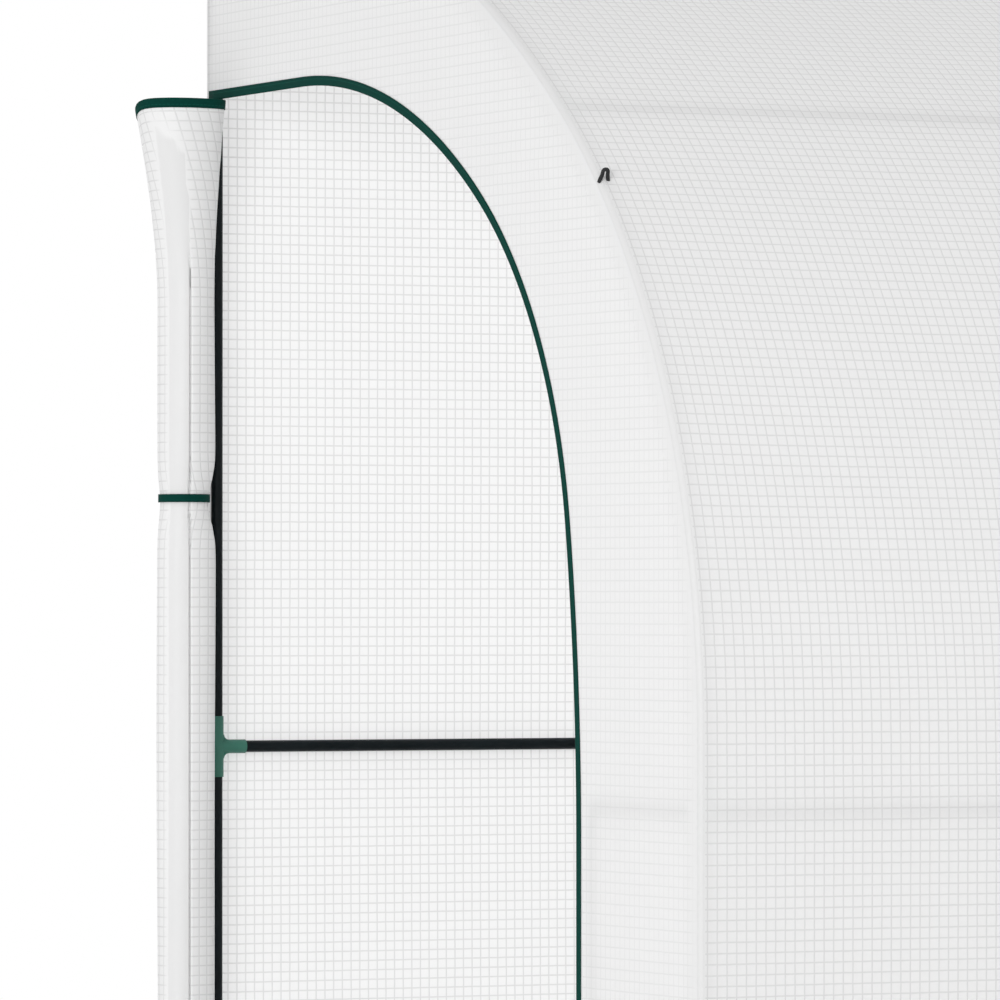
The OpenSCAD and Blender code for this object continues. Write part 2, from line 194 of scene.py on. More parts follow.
# %% A value on its way through a material
class Value:
    """The output of a node. A sum with it adds the node that does the sum."""

    def __init__(self, socket):
        self.socket = socket
        self.tree = socket.id_data

    def feed(self, sockets):
        """Links values to the sockets of this value's own node, or sets them."""
        for key, value in sockets.items():
            target = self.socket.node.inputs[key]
            if isinstance(value, Value):
                self.tree.links.new(value.socket, target)
            else:
                target.default_value = value
        return self

    def node(self, kind, settings=None, sockets=None, out=0):
        """A new node of any kind, as the value that it gives."""
        made = self.tree.nodes.new(kind)
        for key, value in (settings or {}).items():
            setattr(made, key, value)
        return Value(made.outputs[out]).feed(sockets or {})

    def math(self, operation, *terms):
        return self.node("ShaderNodeMath", {"operation": operation}, dict(enumerate(terms)))

    def __add__(self, other):
        return self.math("ADD", self, other)

    def __sub__(self, other):
        return self.math("SUBTRACT", self, other)

    def __rsub__(self, other):
        return self.math("SUBTRACT", other, self)

    def __mul__(self, other):
        return self.math("MULTIPLY", self, other)

    def __truediv__(self, other):
        return self.math("DIVIDE", self, other)

    def __abs__(self):
        return self.math("ABSOLUTE", self)

    __radd__, __rmul__ = __add__, __mul__

    def larger(self, other):
        return self.math("MAXIMUM", self, other)

    def smaller(self, other):
        return self.math("MINIMUM", self, other)

    def from_middle(self):
        """How far it is from the middle of its whole step: 0 there, and 0.5 at both ends."""
        return abs(self.math("FRACT", self) - 0.5)

    def ease(self, start, stop):
        """0 before start, 1 after stop, and a smooth step between."""
        return self.node("ShaderNodeMapRange", {"interpolation_type": "SMOOTHSTEP"},
                         {0: self, 1: start, 2: stop, 3: 0.0, 4: 1.0})

    def tint(self, first, second):
        """A colour that goes from the first to the second with this value."""
        return self.node("ShaderNodeMix", {"data_type": "RGBA"}, {0: self, 6: first, 7: second}, out=2)


print("a value can", [name for name in vars(Value) if not name.startswith("_")])


# %% What most finishes start from
def new_finish(name):
    """A new material and its Principled shader."""
    material = bpy.data.materials.new(name)
    material.use_nodes = True
    return material, Value(material.node_tree.nodes["Principled BSDF"].outputs[0])


def cut_map(start):
    """The map called cut, and its three numbers."""
    cut = start.node("ShaderNodeAttribute", {"attribute_name": "cut"}, out="Vector")
    parts = start.node("ShaderNodeSeparateXYZ", None, {0: cut}).socket.node.outputs
    return cut, [Value(part) for part in parts]


def noise(start, place, scale, detail=2.0, rough=0.5):
    return start.node("ShaderNodeTexNoise", None,
                      {"Vector": place, "Scale": scale, "Detail": detail, "Roughness": rough})


def raised(start, height, distance, strength):
    return start.node("ShaderNodeBump", None,
                      {"Height": height, "Distance": distance, "Strength": strength})


def grey(level):
    return level, level, level, 1.0


def colour(red, green, blue):
    """A colour as it is read off a screen, from 0 to 255, made linear."""
    def linear(level):
        level /= 255
        return level / 12.92 if level <= 0.04045 else ((level + 0.055) / 1.055) ** 2.4
    return linear(red), linear(green), linear(blue), 1.0


print("half way up the screen's scale is", round(colour(128, 128, 128)[0], 3), "of full light")

# %% [markdown]
# ## Grid film
# The cover is white polythene film with a scrim of thin threads laminated into it, one every 13.3 mm each way.
# Threads could be modelled, but the cover alone has about ninety thousand cells. They are drawn by the finish
# instead, on a map called cut, which holds where each point lay on the cutting table, so the threads follow every
# bend. The map's third number says how plain the film looks: 0 shows all of the thread, and 1 none of it. Up to 1.2
# the film is also painted greyer, a painted shade for film that lies tight on something darker. ROLLED is added
# where film lies on film, and -1 paints a crease's shadow dark grey.
# The film lets light through, so part of its surface is a translucent shader: less of it where a thread lies or
# where the film is rolled, and more on the wall side, which gives the inside its glow.

# %% Grid film
PITCH, WAVER = 0.0133, 0.06        # from thread to thread, and the share of it by which a thread strays
THREAD = 0.405, 0.462              # a thread's border fades between these, 0.5 being its middle line
SEAM = HALF - 0.0105               # the cover's stitches run here, beside its turned edge
SEAM_EDGE = 0.0005, 0.0011         # a stitch is this wide to each side, with its soft border
STITCH, STITCH_END = 0.006, (0.3, 0.36)   # from stitch to stitch, and where one ends within that
PANEL_PLAIN, ROLL_PLAIN = 0.45, 0.2   # the threads of the end panels and the doors are fainter than the cover's
# the first number is where the film is painted fully greyer, a painted shade for film tight on something dark
SHADED_PLAIN, ROLLED = 1.2, 2.0
IN_ROLL = 1.4, 1.8                 # lies between the painted shade's full level and the lowest number in a roll
GLOW, WALL_GLOW = 0.16, 0.24       # how much of the light goes through, and how much more on the wall side
ROLL_STOPS, THREAD_STOPS = 0.8, 0.5   # the share of it that a roll and a thread keep back


def grid_film():
    material, film = new_finish("grid_film")
    cut, (across, along, kind) = cut_map(film)
    in_roll = kind.ease(*IN_ROLL)
    plain = abs(kind) - in_roll * ROLLED
    waver = noise(film, cut, 55.0, detail=1.0) - 0.5

    def threads(place):
        return (place / PITCH + waver * WAVER).from_middle()

    lines = threads(across).larger(threads(along))
    thread = lines.ease(*THREAD) * (1 - plain.smaller(1.0))
    pillow = 1 - lines.ease(0.0, 0.5)
    seam = 1 - abs(abs(across) - SEAM).ease(*SEAM_EDGE)
    stitch = seam * (1 - (along / STITCH).from_middle().ease(*STITCH_END))
    white = noise(film, cut, 3.2, detail=3.0).tint(grey(0.93), grey(0.955))
    # painted shade: plain film is painted greyer, towards grey 0.86, on the cover's turned edge and on the roll's
    # band
    painted_shade = plain.ease(1.0, SHADED_PLAIN).tint(white, grey(0.86))
    # painted shadow: a crease, marked -1, is painted dark grey
    crease_shadow = ((0 - kind).ease(0.1, 0.9) * 0.8).tint(painted_shade, grey(0.22))
    film.feed({
        "Base Color": (thread * 0.9).larger(stitch * 0.7).tint(crease_shadow, grey(0.75)),
        "Roughness": 0.36 + thread * 0.16 + noise(film, cut, 38.0, detail=3.0) * 0.1,
        "Normal": raised(film, pillow * 0.5 + thread - seam * 0.6, distance=0.00035, strength=0.5),
        "Specular IOR Level": 0.22,
    })
    through = film.node("ShaderNodeBsdfTranslucent", None, {"Color": grey(0.94)})
    share = (GLOW + along.ease(AT_EAVE, AT_WALL) * WALL_GLOW) * (1 - in_roll * ROLL_STOPS)
    mixed = film.node("ShaderNodeMixShader", None, {0: share * (1 - thread * THREAD_STOPS), 1: film, 2: through})
    output = material.node_tree.nodes["Material Output"]
    material.node_tree.links.new(mixed.socket, output.inputs["Surface"])
    return material


FILM = grid_film()
print("film", len(FILM.node_tree.nodes), "nodes")

# %% [markdown]
# ## Edging tape, tube paint, moulded plastic and cord
# The doorway's edging is a woven polyester tape, folded over the raw edge and sewn through with a row of stitches
# on each side. The tubes carry a dark powder coat, which dries with a faint orange peel. The connectors are moulded
# in green plastic with a fine matt grain. The loops are black cord with a slanting twist. Pictures could be wrapped
# round all of these. Sums on the map or on the object's own place stay sharp from any distance.

# %% Edging tape
TAPE_W = 0.0135                    # from the fold to either edge
RIB, WALE = 0.0011, 0.0016         # the weave repeats after this, along the tape and across it
TAPE_SEAM = 0.0092                 # the stitches run this far from the fold
TAPE_SEAM_EDGE = 0.00025, 0.00055
TAPE_STITCH, TAPE_STITCH_END = 0.0046, (0.33, 0.37)


def edging_tape():
    material, tape = new_finish("edging_tape")
    cut, parts = cut_map(tape)
    along, across = parts[:2]
    rib = (along / RIB).from_middle() * 2
    wale = (across / WALE).from_middle() * 2
    seam = 1 - abs(abs(across) - TAPE_SEAM).ease(*TAPE_SEAM_EDGE)
    stitch = seam * (1 - (along / TAPE_STITCH).from_middle().ease(*TAPE_STITCH_END))
    worn = noise(tape, cut, 24.0, detail=4.0, rough=0.6)
    weave = (rib * 0.55 + wale * 0.45).tint(colour(0, 42, 36), colour(4, 72, 62))
    aged = (worn.ease(0.35, 0.75) * 0.35).tint(weave, colour(8, 66, 56))
    height = rib * 0.35 + wale * 0.25 + stitch - seam * 0.5
    tape.feed({
        "Base Color": (stitch * 0.7).tint(aged, colour(16, 86, 74)),
        "Roughness": 0.68 + worn * 0.2,
        "Normal": raised(tape, height, distance=0.0003, strength=0.6),
        "Specular IOR Level": 0.08,
    })
    return material


TAPE = edging_tape()
print("tape", len(TAPE.node_tree.nodes), "nodes")

# %% Tube paint, moulded plastic and cord
STRANDS, LAY = 3, 0.0042           # the cord's strands, and how far along it one follows the other


def tube_paint():
    material, paint = new_finish("tube_paint")
    place = paint.node("ShaderNodeTexCoord", out="Object")
    peel = noise(paint, place, 420.0, detail=1.0)
    dust = noise(paint, place, 7.0, detail=4.0, rough=0.6).ease(0.45, 0.8)
    paint.feed({
        "Base Color": (dust * 0.5).tint(colour(3, 14, 18), colour(18, 31, 36)),
        "Roughness": 0.42 + dust * 0.2 + peel * 0.06,
        "Normal": raised(paint, peel, distance=0.00025, strength=0.35),
        "Specular IOR Level": 0.2,
    })
    return material


def moulded_plastic():
    material, plastic = new_finish("moulded_plastic")
    place = plastic.node("ShaderNodeTexCoord", out="Object")
    grain = noise(plastic, place, 900.0, detail=2.0)
    flow = noise(plastic, place, 26.0, detail=3.0, rough=0.6)
    plastic.feed({
        "Base Color": flow.tint(colour(44, 103, 88), colour(62, 125, 107)),
        "Roughness": 0.42 + grain * 0.16,
        "Normal": raised(plastic, grain * 0.7 + flow * 0.3, distance=0.0002, strength=0.4),
        "Specular IOR Level": 0.45,
    })
    return material


def twisted_cord():
    material, cord = new_finish("twisted_cord")
    cut, parts = cut_map(cord)
    along, around = parts[:2]
    twist = (along / LAY + around * STRANDS).from_middle() * 2
    fluff = noise(cord, cut, 700.0, detail=2.0)
    cord.feed({
        "Base Color": (twist * 0.7 + fluff * 0.3).tint(colour(6, 6, 8), colour(32, 33, 36)),
        "Roughness": 0.6 + fluff * 0.25,
        "Normal": raised(cord, twist + fluff * 0.3, distance=0.0004, strength=0.7),
    })
    return material


PAINT, PLASTIC, CORD = tube_paint(), moulded_plastic(), twisted_cord()
for name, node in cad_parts.items():
    moulded = name.endswith(("_connectors", "_feet"))
    steel = name.endswith(("_posts", "_tube", "_rails", "purlins"))
    if moulded or steel:
        for held in node.material_slots:
            held.material = PLASTIC if moulded else PAINT
print("finishes", [m.name for m in (FILM, TAPE, PAINT, PLASTIC, CORD)])

# %% [markdown]
# ## Cloth from the cutting table
# Every sheet starts as a flat grid whose lines are set where it will bend. Each point's place on the table is kept
# in the map called cut, and a rule then says where that point ends up on the frame. A cloth simulation could hang
# the sheets too, but these are pulled taut, so the rule is the more exact way.

# %% Cutting and hanging
TINY = 1e-6


def clamp(value, low=0.0, high=1.0):
    return max(low, min(value, high))


def steps(start, *runs):
    """Places from start on, as runs of (stop, longest step)."""
    places = [start]
    for stop, longest in runs:
        first, count = places[-1], max(1, ceil(abs(stop - places[-1]) / longest - TINY))
        places += [first + (stop - first) * (n + 1) / count for n in range(count)]
    return places


def cut_cloth(across, along):
    """A flat grid with its lines at the given places."""
    bm = bmesh.new()
    columns, rows = len(across) - 1, len(along) - 1
    bmesh.ops.create_grid(bm, x_segments=columns, y_segments=rows, size=0.5)
    for v in bm.verts:
        v.co = across[round((v.co.x + 0.5) * columns)], along[round((v.co.y + 0.5) * rows)], 0
    return bm


def hang(bm, place, table=None):
    """Moves each point from the table to its place, and keeps where it lay."""
    cut = bm.verts.layers.float_vector.new("cut")
    for v in bm.verts:
        x, y = v.co.x, v.co.y
        v[cut] = table(x, y) if table else (x, y, 0)
        v.co = place(x, y)
    return bm


print("from 0 to 1 in steps of at most 0.4:", [round(place, 3) for place in steps(0.0, (1.0, 0.4))])


# %% Pieces from the meshes
def far_end(bm):
    """The same piece at the other end: a mirrored copy with its faces turned right side out again."""
    other = bm.copy()
    bmesh.ops.scale(other, vec=(-1, 1, 1), verts=other.verts)
    bmesh.ops.reverse_faces(other, faces=other.faces)
    return other


def piece(name, bm, finish, slot, *nodes):
    """An object from the mesh, riding on the frame in place of the CAD nodes."""
    mesh = bpy.data.meshes.new(name)
    for face in bm.faces:
        face.smooth = True
    bm.to_mesh(mesh)
    bm.free()
    mesh.materials.append(finish)
    made = bpy.data.objects.new(name, mesh)
    bpy.context.scene.collection.objects.link(made)
    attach(made, "root")
    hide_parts(*nodes)
    print(name, len(mesh.polygons), "faces, box", [round(x, 3) for x in made.dimensions])
    return made


def both_ends(name, bm, finish, slot, node):
    """The near piece and its twin, whose names say far where the near ones say near."""
    other = far_end(bm)
    return (piece(name, bm, finish, slot, node),
            piece(name.replace("near", "far"), other, finish, slot, node.replace("near", "far")))


print("CAD nodes that pieces can stand in for", len(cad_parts))

# %% [markdown]
# ## The cover
# One sheet runs from the ground at the front, up and over the shoulder and the roof, round the top edge and down
# the wall. At each end it turns round the hoop and ends in a narrow flange on the end panel, and at each foot it is
# folded in for a hem. Between the hoops and rails it sags by a few millimetres, which is what shows the purlin as
# a faint crease in the roof. It could be five flat panels, but the sheet is really sewn as one skin. Its turned
# edge, where it lies tight on the dark hoop, shows no threads and is painted a little greyer as painted shade.

# %% How far the cover sags between its hoops and rails
BASE_RAIL = 0.011                  # the base rails hold the cover this far above its foot
SAG_FULL = 0.8                     # under 1, the sag is fuller than a plain wave
RAILS = [  # places along the hoop that hold the cover up, with the sag up to the next
    (BASE_RAIL, 0.003),
    (mid_height("front_mid_rails") - FOOT, 0.007),
    (AT_PURLIN, 0.010),
    (AT_EAVE, 0.004),
    (AT_WALL + EAVE_C.y - mid_height("back_mid_rails"), 0.003),
    (HOOP_LENGTH - BASE_RAIL, 0.0),
]


def sag(x, along):
    """How deep the cover hangs at this point: not at all over a hoop or a rail."""
    bay = next((n for n in range(BAYS) if HOOPS[n] < x < HOOPS[n + 1]), None)
    zone = next((n for n in range(len(RAILS) - 1) if RAILS[n][0] < along < RAILS[n + 1][0]), None)
    if bay is None or zone is None:
        return 0.0
    over = (x - HOOPS[bay]) / (HOOPS[bay + 1] - HOOPS[bay])
    up = (along - RAILS[zone][0]) / (RAILS[zone + 1][0] - RAILS[zone][0])
    return RAILS[zone][1] * sin(pi * over) ** SAG_FULL * sin(pi * up)


print("sag in the middle of the roof", round(sag(0.0, (AT_PURLIN + AT_EAVE) / 2), 4))

# %% Where a point of the cover lies
HEM, HEM_R = 0.024, 0.001          # the hem's width, and how tightly it is folded
QUARTER = ROUND * pi / 2           # a quarter turn round the end hoop
STRAIGHT = HALF - ROUND            # the cover lies straight up to here
FLANGE, WALL_FLANGE = 0.026, 0.004
RUN_OUT = 0.04                     # the flange narrows to nothing over this length
WALL_ROUND = 0.005                 # down the wall posts the cover turns more sharply
EASE = 0.1                         # its corner changes from one to the other over this much of the roof's edge


def rim(along):
    """How tightly the cover turns at the ends: gently round the hoops, and more sharply down the wall posts."""
    return ROUND + (WALL_ROUND - ROUND) * clamp((along - AT_EAVE + EASE) / EASE)


def hem_turn(along):
    """How far past the foot a point lies, and so how far in and up the hem takes it."""
    past = max(-along, along - HOOP_LENGTH, 0.0)
    turn = min(past / HEM_R, pi)
    return HEM_R * (1 - cos(turn)), max(past - pi * HEM_R, 0.0) - HEM_R * sin(turn)


def flange_width(along):
    """The flange is narrower down the wall post, and runs out where the top edge turns."""
    width = WALL_FLANGE if along > AT_WALL else FLANGE
    clear = max(AT_EAVE - along, along - AT_WALL, 0.0)
    return width * min(clear / RUN_OUT, 1.0)


def on_cover(across, along):
    """Where a point of the flat cover ends up."""
    deep, up = hem_turn(along)
    beyond = max(abs(across) - STRAIGHT, 0.0)
    turn = min(beyond / QUARTER, 1.0) * pi / 2
    corner = rim(along)
    inwards = deep + (corner - deep) * (1 - cos(turn))
    if beyond > QUARTER:
        inwards += (beyond - QUARTER) / FLANGE * flange_width(along)
    x = min(abs(across) / STRAIGHT, 1.0) * (HALF - corner) + (corner - deep) * sin(turn)
    inwards += sag(across, along)
    spot, out = walk(HOOP, clamp(along, 0.0, HOOP_LENGTH))
    spot = spot - inwards * out
    return Vector((x if across > 0 else -x, spot.x, spot.y + up))


print("the cover's edge at the purlin", [round(c, 3) for c in on_cover(STRAIGHT + QUARTER, AT_PURLIN)])

# %% Cut and hang the cover
ENDS = STRAIGHT + QUARTER + FLANGE
TURNED = STRAIGHT + 0.1 * QUARTER  # past here the film lies tight on the hoop
TURN_STEP, HEM_STEP, FOLD_STEP = 0.0018, 0.012, 0.0008
across = steps(
    -ENDS,
    (-STRAIGHT - QUARTER, FLANGE),
    (-STRAIGHT, TURN_STEP),
    (STRAIGHT, 0.035),
    (STRAIGHT + QUARTER, TURN_STEP),
    (ENDS, FLANGE),
)
along = steps(
    -HEM - pi * HEM_R,
    (-pi * HEM_R, HEM_STEP),
    (0, FOLD_STEP),
    (AT_SIDE, 0.04),               # the upright front
    (AT_PURLIN, 0.024),            # the shoulder
    (AT_EAVE, 0.026),              # the roof
    (AT_WALL, 0.0024),             # its top edge
    (HOOP_LENGTH, 0.05),           # the wall
    (HOOP_LENGTH + pi * HEM_R, FOLD_STEP),
    (HOOP_LENGTH + pi * HEM_R + HEM, HEM_STEP),
)


def cover_table(x, y):
    """The flange is mapped like the end panel that it lies on, so that their threads agree."""
    if abs(x) < STRAIGHT + QUARTER - TINY:
        # the turned edge shows no threads and is painted greyer, a painted shade for the dark hoop beneath
        return x, y, SHADED_PLAIN if abs(x) > TURNED else 0.0
    spot = on_cover(x, y)
    return spot.y, spot.z, PANEL_PLAIN if abs(x) > ENDS - TINY else 1.0


bm = hang(cut_cloth(across, along), on_cover, cover_table)
bmesh.ops.remove_doubles(bm, verts=bm.verts, dist=TINY)
cover = piece("cover_skin", bm, FILM, "sheet", "front_cover", "shoulder_cover", "roof_cover", "back_cover")

# %% [markdown]
# ## The end panels
# Each end is a panel between the hoop and the doorway. A face with a hole could be filled and cut, but a band that
# runs along both edges gives even cells, so the grid is stretched between two outlines: the doorway's, a little
# inside its edging, and the hoop's, a little under the cover's flange. Faint folds run from the doorway's shoulder.

# %% Where a point of the near panel lies
PANEL_X = -HALF + 0.0012           # just behind the cover's flange
UNDER = 0.85                       # the panel ends this share of the way round the cover's corner
TUCK = 0.004                       # and goes this far into the doorway's edging
PANEL_IN = doorway(UNDER * WALL_ROUND)
DOOR_MARKS = [0.0] + [span(PANEL_IN[:n]) for n in range(1, 6)]
HOOP_MARKS = [AT_EAVE, AT_EAVE - 0.36, AT_PURLIN + 0.10, AT_SIDE + 0.16, AT_SIDE - 0.05, 0.0]   # across from them
FOLD_WIDE, FOLD_END = 0.011, 0.03  # a fold fades over this, to its sides and at its ends
FOLDS = [  # ends of each fold as (from the wall, height), and how far it stands out
    ((0.987, 1.722), (0.940, 1.686), 0.0016),
    ((1.077, 1.717), (1.005, 1.636), 0.0018),
    ((1.221, 1.620), (1.221, 1.500), 0.0014),
]


def fold(t, z):
    """How far the folds lift the panel at this point."""
    lift = 0.0
    for (t0, z0), (t1, z1), high in FOLDS:
        run = Vector((t1 - t0, z1 - z0))
        off = Vector((t - t0, z - z0))
        way = off.dot(run) / run.length_squared
        side = (off - way * run).length
        ends = max(-way, way - 1, 0.0) * run.length
        lift += high * exp(-(side / FOLD_WIDE) ** 2 - (ends / FOLD_END) ** 2)
    return lift


def between(marks, share):
    """The place at this share, which counts 1 from each mark to the next."""
    n = min(int(share), len(marks) - 2)
    return marks[n] + (marks[n + 1] - marks[n]) * (share - n)


def panel_spot(share, out):
    """A point of the panel, by its share of the way round and out from the doorway, as (y, z)."""
    inner = walk(PANEL_IN, between(DOOR_MARKS, share), -TUCK)[0]
    outwards = between(HOOP_MARKS, share)
    outer = walk(HOOP, outwards, -UNDER * rim(outwards))[0]
    if share == 0:
        outer.x = inner.x
    return inner.lerp(outer, out)


def on_near_end(spot, lift=0.0):
    """Where a point (y, z) of the near end lies, this far off the panel."""
    return Vector((PANEL_X - fold(WALL - spot.x, spot.y) - lift, spot.x, spot.y))


print("half way out from the crown", [round(c, 3) for c in on_near_end(panel_spot(1.0, 0.5))])

# %% Cut and hang both panels
SHARES = steps(0.0, (1, 0.06), (2, 0.04), (3, 0.05), (4, 0.04), (5, 0.06))
OUT = steps(0.0, (1.0, 0.055))


def panel_table(share, out):
    spot = panel_spot(share, out)
    return spot.x, spot.y, PANEL_PLAIN


bm = hang(cut_cloth(SHARES, OUT), lambda share, out: on_near_end(panel_spot(share, out)), panel_table)
PANEL_AREA = sum(f.calc_area() for f in bm.faces)
slant = (Vector((FRONT, FOOT)) - Vector((WALL, TOP))).normalized()
lengths = [v.co.yz.dot(slant) for v in bm.verts]
widths = [v.co.yz.dot(slant.orthogonal()) for v in bm.verts]
PANEL_FLAT = max(widths) - min(widths), max(lengths) - min(lengths)
near_panel, far_panel = both_ends("near_end_panel", bm, FILM, "sheet", "near_end_cover")
print("panel area", round(PANEL_AREA, 3), "cut slantwise from", [round(x, 3) for x in PANEL_FLAT])

# %% [markdown]
# ## Edging tape round the doorways
# A tape is folded lengthwise over the raw edge, so its section is a narrow U. It could be swept as a curve with a
# bevel. As a cloth strip it keeps a map of its own length and width, and the finish can place the stitches on it.
# The same rule will edge the rolled doors, because it asks another rule where a point of the flat cloth lies.

# %% A tape folded over the edge of a sheet
BEND_R = 0.0008                    # how tightly the tape is folded
BEND = BEND_R * pi / 2             # half of the fold's length
LEG_STEP = 0.004
EDGING_IN = 0.0057                 # the fold lies this far inside the doorway's outline
EDGING_THICK = 0.0006


def edge_tape(runs, edge, inside, lay, longest=0.02):
    """A tape along an outline: its fold is this far outside it, and inside is the side its legs lie on."""
    strip = cut_cloth(steps(0.0, (span(runs), longest)),
                      steps(-TAPE_W, (-BEND, LEG_STEP), (BEND, BEND / 2), (TAPE_W, LEG_STEP)))

    def on_edge(d, across):
        turn = clamp(across / BEND, -1.0) * pi / 2
        leg = max(abs(across) - BEND, 0.0)
        away = edge + inside * (leg - BEND_R * cos(turn))
        return lay(walk(runs, d, away)[0], BEND_R * sin(turn))

    hang(strip, on_edge)
    bmesh.ops.recalc_face_normals(strip, faces=strip.faces)
    return strip


def thicken(thickness, *tapes):
    """Gives tapes their thickness, half of it to each side."""
    for tape in tapes:
        shell = tape.modifiers.new("thickness", "SOLIDIFY")
        shell.thickness, shell.offset = thickness, 0.0
    return tapes


bm = edge_tape(DOORWAY, -EDGING_IN, 1.0, on_near_end)
near_edging, far_edging = thicken(
    EDGING_THICK, *both_ends("near_doorway_edging", bm, TAPE, "binding", "near_door_binding"))

# %% [markdown]
# ## The rolled doors
# The door is the piece of sheet that the doorway was cut out of. It hangs from the wall edge and is rolled up
# towards it, so the jamb edge lies in the core of the roll. A solid cylinder would look like a pipe. A spiral made
# from the real cut has its loose top for free: only the part near the wall is as high as the doorway, so at the top
# there is less than one turn, which opens and leans out, and the lower tops of the inner turns lie inside.
# The outer turn isn't quite round. A loose fold stands out towards the doorway and a crease runs up beside it.
# On the outer side of the crease the core lies close behind the film. There the threads don't show and the film is
# painted greyer as painted shade, and the crease itself gets a painted shadow line.

# %% The door's cut
HINGE = 0.005                      # the door is sewn on this far from the wall
EDGE_IN = 0.006                    # the door's edge is cut this far inside the doorway's
LIFT, DROP = 0.015, 0.006          # the door ends this far off the ground, and hangs by this much when rolled
DOOR_WIDE = DOOR_W - EDGE_IN - HINGE
ROLL_TOP = DOOR_H - EDGE_IN


def door_top(t):
    """How high the door is, this far from the wall."""
    y = WALL - t
    if y >= CROWN_C.x:
        return ROLL_TOP
    for centre, radius, turn in ((CROWN_C, CROWN_R, SHOULDER_TURN), (SHOULDER_C, SHOULDER_R, JAMB_TURN),
                                 (JAMB_C, JAMB_R, 0.0)):
        reach = radius - EDGE_IN
        if y >= centre.x - reach * cos(turn) - 1e-9:
            return centre.y + sqrt(max(reach ** 2 - (centre.x - y) ** 2, 0.0))
    return JAMB_H


print("door", round(DOOR_WIDE, 3), "wide and", round(door_top(HINGE) - LIFT, 3), "high at the wall")

# %% The roll's shape
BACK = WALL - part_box("near_rolled_door")[1].y   # the roll keeps this far from the wall
ROLL_X = -HALF - 0.05              # its axis stands outside the end
ROLL_R = 0.0375
FLARE_R, FLARE_H, LEAN = 0.057, 0.28, 0.021     # its loose top: the radius, the height, and how far it leans out
TIE_Z = mid_height("near_door_tie")
TIE_DRAW, TIE_SPREAD = 0.004, 0.034             # how far the tie draws it in, and over what height
BULGE, BULGE_AT, BULGE_WIDE = 0.0075, radians(248), radians(34)
CREASE, CREASE_AT, CREASE_WIDE = 0.007, radians(171), 0.026
CREASE_END, CREASE_FADE = 0.2, 0.08             # the crease ends this far below the top, and fades over this
RIPPLES = [(0.0007, 2, 5), (0.0005, 3, -9)]     # how high, how many round the roll, and how they wind up it


def bell(place, centre, width):
    """1 at the centre, falling softly to 0 on both sides."""
    return exp(-((place - centre) / width) ** 2)


def roll_shape(z):
    """The roll's radius and axis at this height, and how loose it is there."""
    loose = clamp((z - ROLL_TOP + FLARE_H) / FLARE_H)
    loose = loose * loose * (1.6 - 0.6 * loose)   # opens slowly at first
    outer = ROLL_R + (FLARE_R - ROLL_R) * loose
    drawn = TIE_DRAW * bell(z, TIE_Z, TIE_SPREAD)
    return outer - drawn, Vector((ROLL_X - LEAN * loose, WALL - BACK - outer)), loose


def uneven(angle, z):
    """How far the outer turn strays from round: a loose fold towards the doorway, with a crease beside it."""
    slack = 1 - bell(z, TIE_Z, TIE_SPREAD) + roll_shape(z)[2]
    tight = clamp((ROLL_TOP - CREASE_END - z) / CREASE_FADE)
    waver = sum(high * sin(count * angle + wind * z) for high, count, wind in RIPPLES)
    return (waver * min(angle, 1.0) + BULGE * slack * bell(angle, BULGE_AT, BULGE_WIDE)
            - CREASE * tight * bell(angle, CREASE_AT, CREASE_WIDE))


print("roll radius at the tie and the top", [round(roll_shape(z)[0], 4) for z in (TIE_Z, ROLL_TOP)])

# %% Rolling the door up
CORE = 0.17                        # the core's radius as a share of the roll's
GIVE = 0.6                         # the loose top widens by this share by giving, and by the rest by unrolling
DIP, DIP_AT, DIP_WIDE = 0.017, radians(45), radians(38)   # the loose top's edge hangs lower here


def unroll(s, z):
    """How far round the roll a point of the door lies, how far the turns are apart, and where the roll begins."""
    outer, axis = roll_shape(z)[:2]
    tail = (axis + Vector((HALF, outer + HINGE - WALL))).length
    outer -= GIVE * max(outer - ROLL_R, 0.0)
    core = outer * CORE
    turns = (DOOR_WIDE - tail) / (pi * (outer + core))
    gap = (outer - core) / turns
    left = max(outer ** 2 - gap * max(s - tail, 0.0) / pi, core ** 2 * 0.5)   # stays off the core's middle
    return (outer - sqrt(left)) * 2 * pi / gap, gap, tail


def rolled(s, z, lift=0.0):
    """Where a point of the door lies: s from the hinge, z from the ground, and lift off its outer face."""
    outer, axis, loose = roll_shape(z)
    angle, gap, tail = unroll(s, z)
    if s <= tail:
        spot = Vector((-HALF, WALL - HINGE)).lerp(axis + Vector((0, outer)), s / tail)
        return Vector((spot.x, spot.y + lift, z - DROP * s / tail))
    radius = outer - gap * angle / (2 * pi) + uneven(angle, z) + lift
    dip = DIP * loose ** 2 * bell(angle, DIP_AT, DIP_WIDE)
    way = pi / 2 + angle
    return Vector((axis.x + radius * cos(way), axis.y + radius * sin(way), z - DROP - dip))


print("turns in the roll at the tie", round(unroll(DOOR_WIDE, TIE_Z)[0] / (2 * pi), 2))

# %% Cut the doors and roll them up
COLUMNS = steps(0.0, (0.05, 0.012), (0.095, 0.008),
                (0.143, 0.0035), (0.166, 0.0011), (0.19, 0.004),   # the plain band, the crease and what follows
                (0.30, 0.008), (0.70, 0.006), (1.00, 0.004),       # ever finer towards the core
                (DOOR_WIDE - 0.04, 0.003), (DOOR_WIDE, 0.0025))
ROWS = steps(0.0, (0.58, 0.035), (0.64, 0.012), (0.75, 0.005), (0.82, 0.02), (1.0, 0.011))   # finest at the tie
CREASE_TOP = 1.61                  # the crease is shaded up to here
# the band is where the threads don't show and the film is painted greyer, as painted shade
BAND_FROM, BAND_TOP, BAND_FALL = radians(108), 1.83, 0.045   # the band starts here, and its top falls by this
BAND_SOFT, BAND_FADE = 0.22, 0.03  # its border fades over this share of its width, and this height


def door_spot(s, share):
    """A point of the flat door, by its share of the door's height there."""
    return s, LIFT + share * (door_top(s + HINGE) - LIFT)


